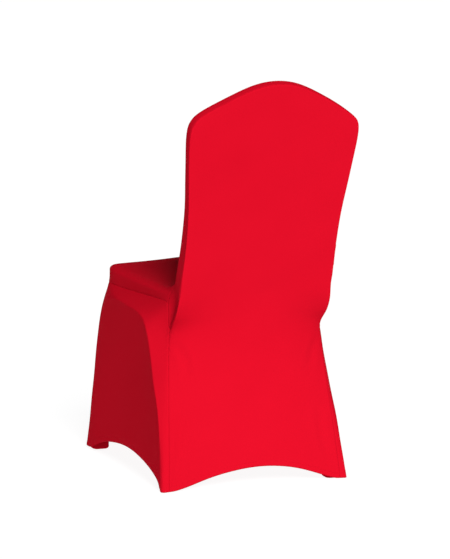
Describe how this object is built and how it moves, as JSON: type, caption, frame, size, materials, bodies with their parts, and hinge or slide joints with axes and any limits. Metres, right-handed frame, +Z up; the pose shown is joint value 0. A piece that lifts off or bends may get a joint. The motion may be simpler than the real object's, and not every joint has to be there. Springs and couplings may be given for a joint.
{
  "type": "stretch chair cover",
  "caption": "Fitted stretch cover for a crown-back stacking chair, with a boxed seat, arched hems and pockets under the feet.",
  "frame": {"origin": "middle of the bounding box in plan, on the floor under the foot pockets' soles", "axes": "+Z up, +Y from the seat towards the backrest, +X to the sitter's left"},
  "size_m": [0.4688, 0.739, 0.953],
  "materials": {
    "red_stretch_cloth": "smooth knitted stretch cloth with a satin sheen, bright red"
  },
  "bodies": {
    "root": {"back_panel": "red_stretch_cloth", "inside_back": "red_stretch_cloth", "seat_panel": "red_stretch_cloth", "side_panel_left": "red_stretch_cloth", "side_panel_right": "red_stretch_cloth", "front_skirt": "red_stretch_cloth", "foot_pocket_rear_left": "red_stretch_cloth", "foot_pocket_rear_right": "red_stretch_cloth", "foot_pocket_front_left": "red_stretch_cloth", "foot_pocket_front_right": "red_stretch_cloth"}
  },
  "joints": []
}
